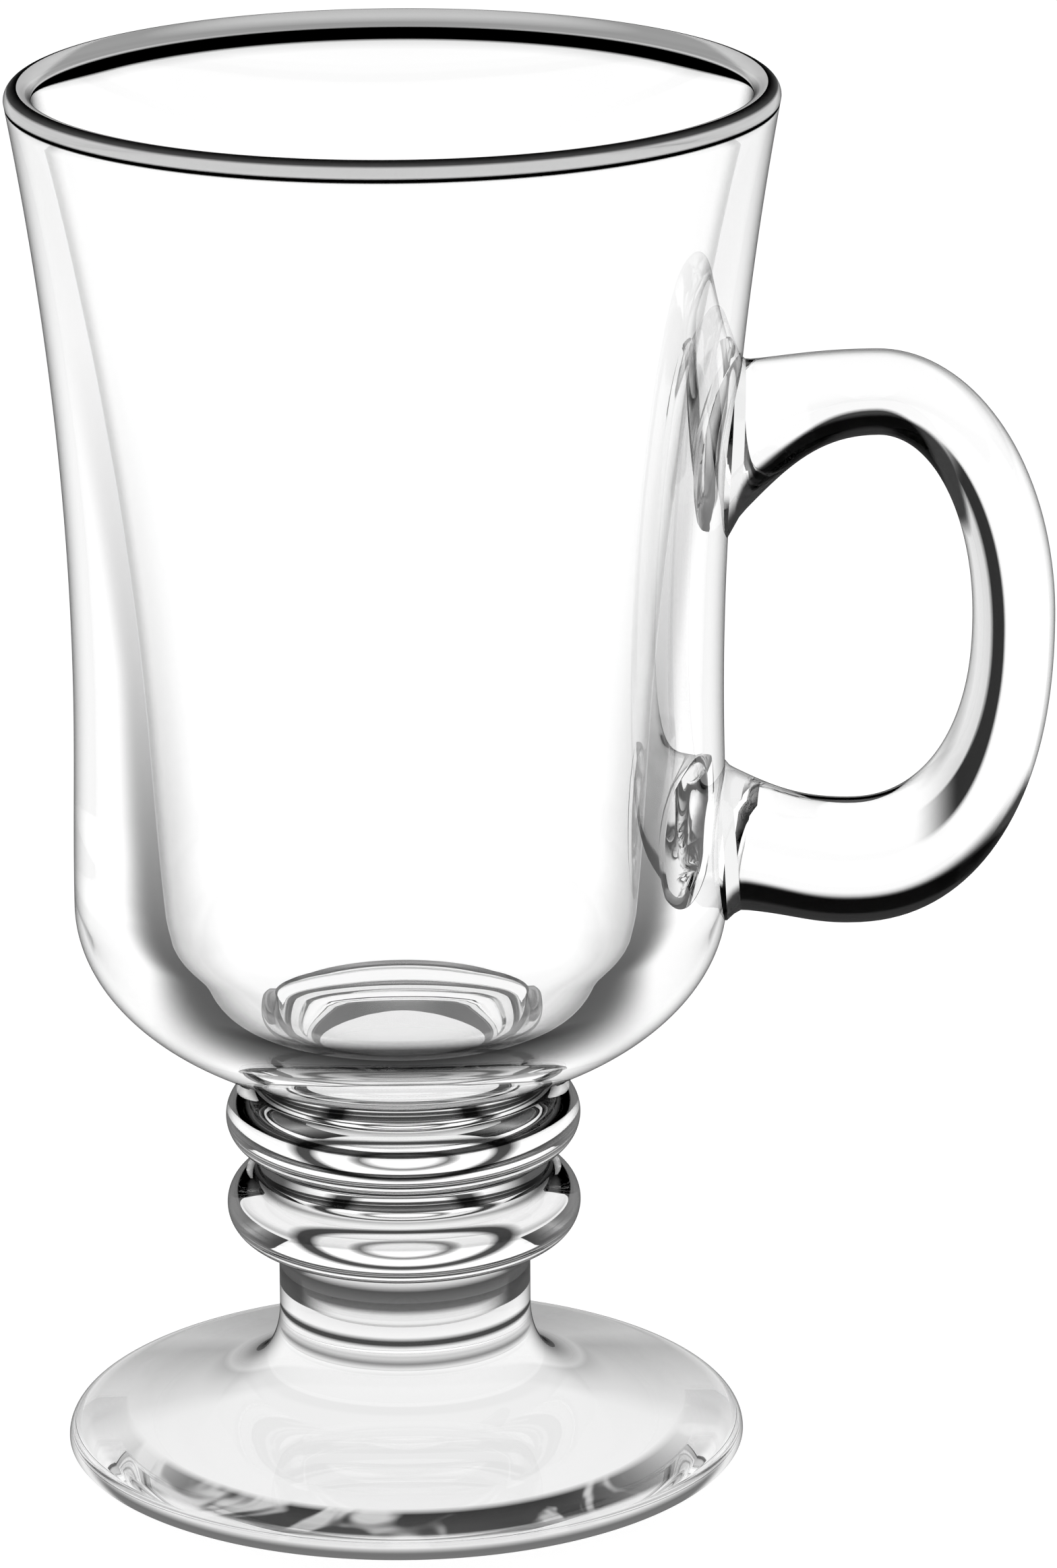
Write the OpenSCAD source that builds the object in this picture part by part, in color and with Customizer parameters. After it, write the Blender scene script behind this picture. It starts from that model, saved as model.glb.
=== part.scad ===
// Stemmed glass mug with one side handle, for hot drinks.
// Four gathers of glass, joined face to face while hot: bowl, stem, foot and handle.
// The origin is the middle of the resting ring under the foot, with +Z up and the handle towards +X.

/* [Bowl] */
// Height of the bowl, from its seat on the stem to the lip
bowl_h = 103.5; // [95:0.5:115]
// Outer diameter at the lip
lip_d = 77.4; // [72:0.2:84]
// Outer diameter at the narrow waist
waist_d = 66.4; // [62:0.2:70]
// Height of the waist above the seat
waist_h = 41.5; // [36:0.5:46]
// Outer diameter at the belly
belly_d = 67.2; // [63:0.2:72]
// Height of the belly above the seat
belly_h = 18; // [15:0.5:21]
// How far the wall leans out at the lip, sideways for each step up
lip_lean = 0.175; // [0.12:0.005:0.22]
// Thickness of the lip
lip_t = 2.7; // [2.2:0.1:3.4]
// Thickness of the side wall low down, where it is thickest
wall_t = 8.4; // [7:0.1:9.4]
// Thickness of glass under the middle of the cavity
floor_t = 6.2; // [4:0.1:8]
// Height of the rounded bottom of the cavity
cavity_round_h = 14.5; // [12:0.5:18]

/* [Stem] */
// Height of the stem, from the foot's seat to the bowl's seat
stem_h = 24; // [22.5:0.5:28]
// Outer diameter of the two ring knops
ring_d = 36.9; // [34:0.1:40]
// Thickness of each ring knop, as the diameter of its round edge
ring_t = 6.8; // [6:0.1:7.4]
// Distance between the middles of the two rings
ring_pitch = 9.7; // [9.4:0.1:10.4]
// Distance from the bowl's seat down to the middle of the upper ring
ring_drop = 5.5; // [4.6:0.1:6]
// Diameter of the grooves over and under the upper ring
groove_d = 30.4; // [28:0.1:32]
// Diameter of the neck under the rings
neck_d = 26.3; // [24:0.1:27]
// Radius of the hollows where the rings run into the stem
hollow_r = 0.9; // [0.5:0.1:1]

/* [Foot] */
// Diameter of the foot
foot_d = 71; // [66:0.5:76]
// Height of the foot, up to its seat in the neck
foot_h = 19.5; // [18.5:0.1:22]
// Height of the foot's widest line
foot_edge_h = 2.8; // [2.2:0.1:3.4]
// Radius that rounds the foot's upper edge
foot_edge_r = 1.4; // [0.8:0.1:1.8]
// Height at which the neck begins to flare into the foot
flare_top_h = 17; // [15:0.1:18]
// Diameter at which the flare runs out into the foot's upper face
flare_d = 44; // [38:0.5:50]
// Height of the foot's upper face where the flare runs out
flare_foot_h = 6.9; // [6.2:0.1:7.6]
// Outer diameter of the flat ring that the mug rests on
rest_d = 57; // [54:0.5:60]
// Width of the resting ring
rest_w = 2.6; // [1.8:0.1:3.6]
// Depth of the hollow inside the resting ring
under_depth = 1.4; // [0.6:0.1:2]

/* [Handle] */
// How far the handle reaches out from the mug's axis
handle_reach = 66.9; // [62:0.1:72]
// Height of the handle's highest point above the bowl's seat
handle_top_h = 75.6; // [72:0.1:80]
// Height of the handle's lowest point above the bowl's seat
handle_low_h = 15.3; // [14:0.1:20]
// Height above the bowl's seat at which the handle reaches out farthest
handle_side_h = 47.5; // [43:0.1:52]
// Distance of the handle's crown from the mug's axis
crown_x = 48.6; // [46:0.1:50]
// Distance of the handle's lowest point from the mug's axis
low_x = 46; // [43:0.1:48]
// Thickness of the bar at the crown and at the side
bar_t = 8.4; // [7:0.1:9.5]
// Thickness of the lower arm
lower_arm_t = 13; // [11:0.1:14]
// Width of the bar, across the mug
bar_w = 12; // [10:0.1:14]
// Height of the upper root where it meets the bowl
upper_root_h = 18.2; // [16:0.1:20]
// Height of the lower root where it meets the bowl
lower_root_h = 15; // [14:0.1:17]
// Width of both roots where they meet the bowl
root_w = 14.5; // [12:0.1:17]
// How far the top of the bar dips between its crown and the bowl
root_dip = 1.1; // [0:0.1:2]
// How far the underside rises from its lowest point to the bowl
root_rise = 1.7; // [0:0.1:2.5]
// Radius of the fillets between the handle's roots and the bowl
root_fillet_r = 1.2; // [0.6:0.1:1.6]

/* [Hidden] */
$fn = 128;

// Steps in each curve
lip_steps = 10;
side_steps = 22;
round_steps = 14;
ring_steps = 16;
hollow_steps = 5;
flare_steps = 14;
bar_sides = 28;
root_steps = 14;
arc_steps = 16;

// Seats, as heights in the whole mug
stem_seat_z = foot_h;
bowl_seat_z = foot_h + stem_h;
lip_z = bowl_seat_z + bowl_h;

// Bowl, as heights in the whole mug and radii
belly_z = bowl_seat_z + belly_h;
waist_z = bowl_seat_z + waist_h;
floor_z = bowl_seat_z + floor_t;
round_z = floor_z + cavity_round_h;
lip_r = lip_d / 2;
waist_r = waist_d / 2;
belly_r = belly_d / 2;
seat_r = groove_d / 2;
lip_round_r = lip_t / 2;
lip_turn_z = lip_z - lip_round_r;
// Half height of the ellipse that the bowl's underside follows, so that it ends on its seat
under_h = belly_h / sqrt(1 - pow(seat_r / belly_r, 2));
// How full the bottom of the cavity is, where 2 is a plain ellipse
cavity_fullness = 3.15;
// How fast the side wall thickens on its way down, where 1 is a straight taper
wall_growth = 1.25;
// How far the side wall thickens for each step down, at the top of the cavity's round
taper = wall_growth * (wall_t - lip_t) / (lip_turn_z - round_z);

// Stem
neck_r = neck_d / 2;
ring_edge_r = ring_t / 2;
ring_mid_r = ring_d / 2 - ring_edge_r;
upper_ring_z = bowl_seat_z - ring_drop;
lower_ring_z = upper_ring_z - ring_pitch;

// Foot
foot_r = foot_d / 2;
flare_r = flare_d / 2;
rest_r = rest_d / 2;
rest_in_r = rest_r - rest_w;
edge_top_z = foot_edge_h + foot_edge_r;
// Lean of the foot's upper face, down for each step out
face_fall = (flare_foot_h - edge_top_z) / (foot_r - foot_edge_r - flare_r);
// Where the flare's curve is held, as shares of its height and its width
flare_hold_shares = [0.62, 0.55];
// How full the hollow under the foot is, where 2 is a plain ellipse
under_fullness = 2.6;

// Handle, as heights in the whole mug and places across it
crown_z = bowl_seat_z + handle_top_h;
low_z = bowl_seat_z + handle_low_h;
side_z = bowl_seat_z + handle_side_h;
root_in = lip_t;
root_top_z = crown_z;
root_low_z = low_z + root_rise;
// How full the bends of the handle are, where 2 is a plain ellipse
upper_bend = 2;
lower_bend = 2.25;
// How full the bar's section is, where 2 is a plain ellipse
bar_fullness = 2.3;
// Where the curves of the roots are held, as shares of their run from the bowl to the bar
arm_hold_shares = [0.33, 0.55];
web_hold_shares = [0.4, 0.42];
web_drop_share = 0.52;

// A smooth step from 0 to 1
function ease(s) = s * s * (3 - 2 * s);

// A point of the cubic curve held by four points
function bend_point(p, t) =
    pow(1 - t, 3) * p[0]
    + 3 * t * pow(1 - t, 2) * p[1]
    + 3 * t * t * (1 - t) * p[2]
    + pow(t, 3) * p[3];

// Points along an arc, from one angle to another
function arc_points(mid, r, from, to, steps) =
    [for (i = [0 : steps]) let (a = from + (to - from) * i / steps) mid + r * [cos(a), sin(a)]];

// Cosine and sine bent to a fuller or flatter curve
function full_cos(a, fullness) = sign(cos(a)) * pow(abs(cos(a)), 2 / fullness);
function full_sin(a, fullness) = sign(sin(a)) * pow(abs(sin(a)), 2 / fullness);

// Outer radius of the bowl's flared side, from the waist up to the lip
function flare_radius(z) =
    let (rise = lip_turn_z - waist_z)
    let (s = (z - waist_z) / rise)
    waist_r + (lip_r - waist_r) * ease(s) + lip_lean * rise * s * s * (s - 1);

// Outer radius of the bowl at any height over its seat
function bowl_radius(z) =
    z < belly_z ? belly_r * sqrt(1 - pow((belly_z - z) / under_h, 2))
    : z < waist_z ? belly_r + (waist_r - belly_r) * ease((z - belly_z) / (waist_z - belly_z))
    : flare_radius(z);

// Thickness of the bowl's side wall, which grows from the lip down to the cavity's round
function wall_at(z) =
    lip_t + (wall_t - lip_t) * pow((lip_turn_z - z) / (lip_turn_z - round_z), wall_growth);

// Radius of the cavity at any height over the round of its bottom
function cavity_radius(z) = bowl_radius(z) - wall_at(z);

// Outer side of the bowl, from its seat up to the turn of the lip
function bowl_side() = concat(
    [for (i = [0 : round_steps])
        let (a = asin(seat_r / belly_r) + (90 - asin(seat_r / belly_r)) * i / round_steps)
        [belly_r * sin(a), belly_z - under_h * cos(a)]],
    [for (i = [1 : side_steps])
        let (z = belly_z + (waist_z - belly_z) * i / side_steps)
        [bowl_radius(z), z]],
    [for (i = [1 : side_steps])
        let (z = waist_z + (lip_turn_z - waist_z) * i / side_steps)
        [flare_radius(z), z]]
);

// Rounded lip, from its outer side over its top to its inner side
function lip_turn() =
    arc_points([lip_r - lip_round_r, lip_turn_z], lip_round_r, 180 / lip_steps, 180, lip_steps - 1);

// Inner side of the bowl, from the lip down to the middle of the cavity's floor
function cavity_side() = concat(
    [for (i = [1 : side_steps])
        let (z = lip_turn_z + (round_z - lip_turn_z) * i / side_steps)
        [cavity_radius(z), z]],
    [for (i = [1 : round_steps])
        let (a = 90 * i / round_steps, drop = cavity_round_h * full_sin(a, cavity_fullness))
        [(cavity_radius(round_z) - taper * drop) * full_cos(a, cavity_fullness), round_z - drop]]
);

module bowl() {
    color("white", 0.35)
    rotate_extrude()
    polygon(concat([[0, bowl_seat_z]], bowl_side(), lip_turn(), cavity_side()));
}

// Outline of one ring knop, with the hollow under it and the hollow over it
function ring_side(z, under_r, over_r) =
    let (reach = ring_edge_r + hollow_r)
    let (under_a = acos((under_r + hollow_r - ring_mid_r) / reach))
    let (over_a = acos((over_r + hollow_r - ring_mid_r) / reach))
    let (under_z = z - reach * sin(under_a))
    let (over_z = z + reach * sin(over_a))
    concat(
        arc_points([under_r + hollow_r, under_z], hollow_r, 180, 180 - under_a, hollow_steps),
        arc_points([ring_mid_r, z], ring_edge_r, -under_a, over_a, ring_steps),
        arc_points([over_r + hollow_r, over_z], hollow_r, 180 + over_a, 180, hollow_steps)
    );

module stem() {
    color("white", 0.4)
    rotate_extrude()
    polygon(concat(
        [[0, stem_seat_z], [neck_r, stem_seat_z]],
        ring_side(lower_ring_z, neck_r, seat_r),
        ring_side(upper_ring_z, seat_r, seat_r),
        [[seat_r, bowl_seat_z], [0, bowl_seat_z]]
    ));
}

// Curve of the foot from the neck out to where its upper face begins
function flare_side() =
    let (drop = flare_top_h - flare_foot_h)
    let (out = flare_r - neck_r)
    let (hold_r = flare_r - out * flare_hold_shares[1])
    let (held = [
        [neck_r, flare_top_h],
        [neck_r, flare_top_h - drop * flare_hold_shares[0]],
        [hold_r, flare_foot_h + (flare_r - hold_r) * face_fall],
        [flare_r, flare_foot_h]
    ])
    [for (i = [0 : flare_steps]) bend_point(held, i / flare_steps)];

// Hollow under the foot, from the resting ring in to the axis
function under_side() =
    [for (i = [0 : round_steps])
        let (a = 90 * i / round_steps)
        [rest_in_r * full_cos(a, under_fullness), under_depth * full_sin(a, under_fullness)]];

module foot() {
    color("white", 0.4)
    rotate_extrude()
    polygon(concat(
        [[0, stem_seat_z], [neck_r, stem_seat_z]],
        flare_side(),
        arc_points([foot_r - foot_edge_r, foot_edge_h], foot_edge_r, 90, 0, round_steps),
        [[rest_r, 0]],
        under_side()
    ));
}

// The handle's outer and inner outlines run together, each as four stretches of equal steps:
// upper root to crown, crown to side, side to lowest point, lowest point to lower root.
function outer_upper_arm(t) =
    let (start = bowl_radius(root_top_z) - root_in)
    let (run = crown_x - start)
    bend_point([
        [start, root_top_z - root_dip],
        [start + run * arm_hold_shares[0], root_top_z - root_dip],
        [start + run * arm_hold_shares[1], crown_z],
        [crown_x, crown_z]
    ], t);

function inner_upper_arm(t) =
    let (low = root_top_z - upper_root_h)
    let (high = crown_z - bar_t)
    let (start = bowl_radius(low) - root_in)
    let (run = crown_x - start)
    bend_point([
        [start, low - root_in],
        [start + run * web_hold_shares[0], low + (high - low) * (1 - web_drop_share)],
        [crown_x - run * web_hold_shares[1], high],
        [crown_x, high]
    ], t);

function outer_lower_arm(t) =
    let (start = bowl_radius(root_low_z) - root_in)
    let (run = low_x - start)
    bend_point([
        [low_x, low_z],
        [low_x - run * arm_hold_shares[0], low_z],
        [start + run * arm_hold_shares[1], root_low_z],
        [start, root_low_z]
    ], t);

function inner_lower_arm(t) =
    let (high = root_low_z + lower_root_h)
    let (low = low_z + lower_arm_t)
    let (start = bowl_radius(high) - root_in)
    let (run = low_x - start)
    bend_point([
        [low_x, low],
        [low_x - run * web_hold_shares[1], low],
        [start + run * web_hold_shares[0], low + (high - low) * web_drop_share],
        [start, high + root_in / 2]
    ], t);

// A quarter turn of the bar, round the given middle
function bar_turn(mid, out, up, fullness, t) =
    mid + [out * full_cos(90 * t, fullness), up * full_sin(90 * t, fullness)];

function outer_stations() = concat(
    [for (i = [0 : root_steps]) outer_upper_arm(i / root_steps)],
    [for (i = [1 : arc_steps])
        bar_turn([crown_x, side_z], handle_reach - crown_x, crown_z - side_z, upper_bend, 1 - i / arc_steps)],
    [for (i = [1 : arc_steps])
        bar_turn([low_x, side_z], handle_reach - low_x, low_z - side_z, lower_bend, i / arc_steps)],
    [for (i = [1 : root_steps]) outer_lower_arm(i / root_steps)]
);

function inner_stations() = concat(
    [for (i = [0 : root_steps]) inner_upper_arm(i / root_steps)],
    [for (i = [1 : arc_steps])
        bar_turn([crown_x, side_z], handle_reach - bar_t - crown_x, crown_z - bar_t - side_z,
            upper_bend, 1 - i / arc_steps)],
    [for (i = [1 : arc_steps])
        bar_turn([low_x, side_z], handle_reach - bar_t - low_x, low_z + lower_arm_t - side_z,
            lower_bend, i / arc_steps)],
    [for (i = [1 : root_steps]) inner_lower_arm(i / root_steps)]
);

// Half width of the bar at each station, wider where it runs into the bowl
function half_widths() = concat(
    [for (i = [0 : root_steps]) bar_w / 2 + (root_w - bar_w) / 2 * (1 - ease(i / root_steps))],
    [for (i = [1 : 2 * arc_steps]) bar_w / 2],
    [for (i = [1 : root_steps]) bar_w / 2 + (root_w - bar_w) / 2 * ease(i / root_steps)]
);

// How much a section grows in its fillet, at a given distance from the bowl
function fillet_growth(away) =
    away >= root_fillet_r ? 0
    : root_fillet_r - sqrt(pow(root_fillet_r, 2) - pow(root_fillet_r - max(away, 0), 2));

// One closed ring of points round the bar, between an outer and an inner point
function bar_ring(outer, inner, half_w) =
    let (mid = (outer + inner) / 2)
    let (half = (outer - inner) / 2)
    let (grow = fillet_growth(mid[0] - bowl_radius(mid[1])))
    let (axis = half / norm(half) * (norm(half) + grow))
    [for (k = [0 : bar_sides - 1])
        let (a = 360 * k / bar_sides)
        let (c = full_cos(a, bar_fullness))
        [mid[0] + axis[0] * c, (half_w + grow) * full_sin(a, bar_fullness), mid[1] + axis[1] * c]];

module handle_sweep() {
    outer = outer_stations();
    inner = inner_stations();
    half_w = half_widths();
    last = len(outer) - 1;
    points = [for (i = [0 : last]) each bar_ring(outer[i], inner[i], half_w[i])];
    sides = [for (i = [0 : last - 1], k = [0 : bar_sides - 1], half = [0, 1])
        let (here = i * bar_sides)
        let (next = (k + 1) % bar_sides)
        half == 0 ? [here + k, here + next, here + bar_sides + k]
        : [here + next, here + bar_sides + next, here + bar_sides + k]];
    start_cap = [for (k = [1 : bar_sides - 2]) [0, k + 1, k]];
    end_cap = [for (k = [1 : bar_sides - 2])
        [last * bar_sides, last * bar_sides + k, last * bar_sides + k + 1]];
    polyhedron(points = points, faces = concat(sides, start_cap, end_cap), convexity = 6);
}

// The room that the bowl takes, which the handle's roots are shaped to
module bowl_room() {
    rotate_extrude()
    polygon(concat([[0, bowl_seat_z]], bowl_side(), [[0, lip_turn_z]]));
}

module handle() {
    color("white", 0.4)
    difference() {
        handle_sweep();
        bowl_room();
    }
}

bowl();
stem();
foot();
handle();
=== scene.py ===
import math

import bpy
from mathutils import Matrix, Vector


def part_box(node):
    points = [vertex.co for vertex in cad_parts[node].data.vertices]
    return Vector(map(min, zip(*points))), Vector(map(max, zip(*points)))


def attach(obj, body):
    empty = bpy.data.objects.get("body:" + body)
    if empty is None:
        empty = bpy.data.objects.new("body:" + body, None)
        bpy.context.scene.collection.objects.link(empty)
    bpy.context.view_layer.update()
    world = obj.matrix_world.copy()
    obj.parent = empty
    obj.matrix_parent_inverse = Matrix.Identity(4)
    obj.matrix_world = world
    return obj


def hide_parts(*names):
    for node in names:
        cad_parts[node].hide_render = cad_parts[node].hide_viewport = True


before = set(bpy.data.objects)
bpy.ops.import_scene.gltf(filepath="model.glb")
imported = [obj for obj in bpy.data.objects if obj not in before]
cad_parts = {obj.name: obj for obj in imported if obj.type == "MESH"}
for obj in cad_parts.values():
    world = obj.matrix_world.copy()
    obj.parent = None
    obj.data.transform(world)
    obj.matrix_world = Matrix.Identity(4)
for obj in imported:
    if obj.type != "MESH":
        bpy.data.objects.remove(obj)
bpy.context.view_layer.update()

# A stemmed glass mug with one side handle: bowl, stem with two rings, foot and handle, all of clear pressed glass.
# Sizes are written in millimetres and turned to metres with mm where a mesh is made.
mm = 0.001
print("frame loaded:", ", ".join(sorted(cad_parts)))


# Camera

cameraView = {
    "imageHeight": 2327,                 # pixels, the photograph's frame
    "focalPixels": 10320,                # a long lens, fitted to the rim, the rings and the foot
    "place": (13.2, -681.2, 286.3),
    "lookDown": 17.34,                   # degrees
    "roll": -0.28,                       # degrees
    "sensorHeight": 36.0,
}


def addCamera():
    bpy.ops.object.camera_add(location=[part * mm for part in cameraView["place"]])
    camera = bpy.context.object
    turn = Matrix.Rotation(math.radians(90 - cameraView["lookDown"]), 4, "X")
    turn = turn @ Matrix.Rotation(math.radians(cameraView["roll"]), 4, "Z")
    camera.rotation_euler = turn.to_euler()
    camera.data.sensor_fit = "VERTICAL"
    camera.data.sensor_height = cameraView["sensorHeight"]
    camera.data.lens = cameraView["focalPixels"] / cameraView["imageHeight"] * cameraView["sensorHeight"]
    bpy.context.scene.camera = camera


addCamera()
print("camera placed")


# Curves that the outlines share

def ease(share):                          # a smooth step from 0 to 1
    return share * share * (3 - 2 * share)


def fullCurve(part, fullness):            # a cosine or sine bent to a fuller curve
    return math.copysign(abs(part) ** (2 / fullness), part)


def bendPoint(held, t):                   # a point of the cubic curve held by four points
    a, b, c, d = (Vector(point) for point in held)
    return a * (1 - t) ** 3 + b * 3 * t * (1 - t) ** 2 + c * 3 * t * t * (1 - t) + d * t ** 3


def arcPoints(middle, radius, start, end, steps):
    angles = [math.radians(start + (end - start) * i / steps) for i in range(steps + 1)]
    return [Vector((middle[0] + radius * math.cos(a), middle[1] + radius * math.sin(a))) for a in angles]


def nodeReach(node):                      # a node's radius, lowest and highest point, in millimetres
    low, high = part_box(node)
    return high.y / mm, low.z / mm, high.z / mm


# Turned pieces

turning = {
    "steps": 256,                         # round the axis
    "mergeGap": 0.002,
    "seatFlatness": 0.999,
    "seatGap": 0.01,
    "smoothAngle": 24,                    # degrees between faces that still shade as one surface
}


def turnOutline(name, outline, steps=None, angle=360):
    bpy.ops.object.select_all(action="DESELECT")
    bpy.ops.mesh.primitive_plane_add(size=mm, location=(0, 0, 0))
    piece = bpy.context.object
    piece.name = piece.data.name = name
    bpy.ops.object.mode_set(mode="EDIT")
    bpy.ops.mesh.select_all(action="SELECT")
    bpy.ops.mesh.merge(type="CENTER")
    bpy.ops.transform.translate(value=(outline[0][0] * mm, 0, outline[0][1] * mm))
    for here, after in zip(outline, outline[1:]):
        step = ((after[0] - here[0]) * mm, 0, (after[1] - here[1]) * mm)
        bpy.ops.mesh.extrude_vertices_move(TRANSFORM_OT_translate={"value": step})
    bpy.ops.mesh.select_all(action="SELECT")
    bpy.ops.mesh.spin(steps=steps or turning["steps"], angle=math.radians(angle), center=(0, 0, 0), axis=(0, 0, 1))
    bpy.ops.mesh.select_all(action="SELECT")
    bpy.ops.mesh.remove_doubles(threshold=turning["mergeGap"] * mm)
    bpy.ops.mesh.normals_make_consistent(inside=False)
    bpy.ops.object.mode_set(mode="OBJECT")
    return piece


def chooseOnly(piece):
    bpy.ops.object.select_all(action="DESELECT")
    piece.select_set(True)
    bpy.context.view_layer.objects.active = piece


def weldSeat(piece, height):              # the flat disc where two gathers were joined hot
    for face in piece.data.polygons:
        flat = abs(face.normal.z) > turning["seatFlatness"]
        if flat and abs(face.center.z - height * mm) < turning["seatGap"] * mm:
            face.material_index = 1


# Bowl

bowlRadiusLip, bowlSeat, bowlTop = nodeReach("bowl")
bowlSizes = {
    "waistRadius": 33.2, "waistHeight": 41.5,   # heights here are over the bowl's seat
    "bellyRadius": 33.6, "bellyHeight": 18.0,
    "seatRadius": 15.2,
    "lipLean": 0.175, "lipThickness": 2.7,
    "wallThickness": 8.4, "wallGrowth": 1.25, "floorThickness": 6.2,
    "cavityRound": 14.5, "cavityFullness": 3.15,
    "sideSteps": 40, "roundSteps": 44, "lipSteps": 18,
}
bellyZ = bowlSeat + bowlSizes["bellyHeight"]
waistZ = bowlSeat + bowlSizes["waistHeight"]
lipTurnZ = bowlTop - bowlSizes["lipThickness"] / 2
roundZ = bowlSeat + bowlSizes["floorThickness"] + bowlSizes["cavityRound"]
seatShare = bowlSizes["seatRadius"] / bowlSizes["bellyRadius"]
underHeight = bowlSizes["bellyHeight"] / math.sqrt(1 - seatShare ** 2)


def bowlRadius(z):
    belly, waist = bowlSizes["bellyRadius"], bowlSizes["waistRadius"]
    if z < bellyZ:
        return belly * math.sqrt(max(0, 1 - ((bellyZ - z) / underHeight) ** 2))
    if z < waistZ:
        return belly + (waist - belly) * ease((z - bellyZ) / (waistZ - bellyZ))
    rise = lipTurnZ - waistZ
    share = (z - waistZ) / rise
    return waist + (bowlRadiusLip - waist) * ease(share) + bowlSizes["lipLean"] * rise * share ** 2 * (share - 1)


def cavityRadius(z):
    lip, wall = bowlSizes["lipThickness"], bowlSizes["wallThickness"]
    share = (lipTurnZ - z) / (lipTurnZ - roundZ)
    return bowlRadius(z) - lip - (wall - lip) * share ** bowlSizes["wallGrowth"]


def stepsBetween(low, high, steps):       # heights after the first, in equal steps
    return [low + (high - low) * (i + 1) / steps for i in range(steps)]


def bowlSide():
    steps = bowlSizes["roundSteps"]
    start = math.asin(seatShare)
    angles = [start + (math.pi / 2 - start) * i / steps for i in range(steps + 1)]
    under = [Vector((bowlSizes["bellyRadius"] * math.sin(a), bellyZ - underHeight * math.cos(a))) for a in angles]
    side = bowlSizes["sideSteps"]
    heights = stepsBetween(bellyZ, waistZ, side) + stepsBetween(waistZ, lipTurnZ, side)
    return under + [Vector((bowlRadius(z), z)) for z in heights]


def bowlOutline():
    lipRound = bowlSizes["lipThickness"] / 2
    steps = bowlSizes["roundSteps"]
    lip = arcPoints((bowlRadiusLip - lipRound, lipTurnZ), lipRound, 0, 180, bowlSizes["lipSteps"])[1:]
    inner = [Vector((cavityRadius(z), z)) for z in stepsBetween(lipTurnZ, roundZ, 2 * bowlSizes["sideSteps"])]
    fullness = bowlSizes["cavityFullness"]
    taper = bowlSizes["wallGrowth"] * (bowlSizes["wallThickness"] - bowlSizes["lipThickness"]) / (lipTurnZ - roundZ)
    bottom = []
    for i in range(1, steps + 1):
        a = math.pi / 2 * i / steps
        drop = bowlSizes["cavityRound"] * fullCurve(math.sin(a), fullness)
        side = (cavityRadius(roundZ) - taper * drop) * fullCurve(math.cos(a), fullness)
        bottom.append(Vector((side if i < steps else 0, roundZ - drop)))
    return [Vector((0, bowlSeat))] + bowlSide() + lip + inner + bottom


bowlPiece = turnOutline("bowlGlass", bowlOutline())
print("bowl turned:", len(bowlPiece.data.polygons), "faces")


# Stem

ringRadius, stemSeat, stemTop = nodeReach("stem")
stemSizes = {
    "ringThickness": 6.8, "ringPitch": 9.7, "ringDrop": 5.5,
    "grooveRadius": 15.2, "neckRadius": 13.15, "hollowRadius": 0.9,
    "ringSteps": 40, "hollowSteps": 10, "neckSteps": 6,
}


def ringSide(middleZ, underRadius, overRadius):
    edge, hollow = stemSizes["ringThickness"] / 2, stemSizes["hollowRadius"]
    middle = ringRadius - edge
    reach = edge + hollow
    under = math.degrees(math.acos((underRadius + hollow - middle) / reach))
    over = math.degrees(math.acos((overRadius + hollow - middle) / reach))
    underZ = middleZ - reach * math.sin(math.radians(under))
    overZ = middleZ + reach * math.sin(math.radians(over))
    steps = stemSizes["hollowSteps"]
    return (arcPoints((underRadius + hollow, underZ), hollow, 180, 180 - under, steps)
            + arcPoints((middle, middleZ), edge, -under, over, stemSizes["ringSteps"])[1:]
            + arcPoints((overRadius + hollow, overZ), hollow, 180 + over, 180, steps)[1:])


def stemOutline():
    neck, groove = stemSizes["neckRadius"], stemSizes["grooveRadius"]
    upperRing = stemTop - stemSizes["ringDrop"]
    lowerRing = upperRing - stemSizes["ringPitch"]
    lower = ringSide(lowerRing, neck, groove)
    neckLine = [Vector((neck, stemSeat + (lower[0].y - stemSeat) * i / stemSizes["neckSteps"]))
                for i in range(stemSizes["neckSteps"])]
    return ([Vector((0, stemSeat))] + neckLine + lower + ringSide(upperRing, groove, groove)
            + [Vector((groove, stemTop)), Vector((0, stemTop))])


stemPiece = turnOutline("stemGlass", stemOutline())
print("stem turned:", len(stemPiece.data.polygons), "faces")


# Foot

footRadius, footBase, footSeat = nodeReach("foot")
footSizes = {
    "edgeHeight": 2.8, "edgeRound": 1.4,
    "flareTop": 17.0, "flareRadius": 22.0, "flareFoot": 6.9,
    "flareHolds": (0.62, 0.55),
    "restRadius": 28.5, "restWidth": 2.6,
    "hollowDepth": 1.4, "hollowFullness": 2.6,
    "flareSteps": 48, "faceSteps": 12, "edgeSteps": 20, "bevelSteps": 6, "hollowSteps": 40,
}


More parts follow.
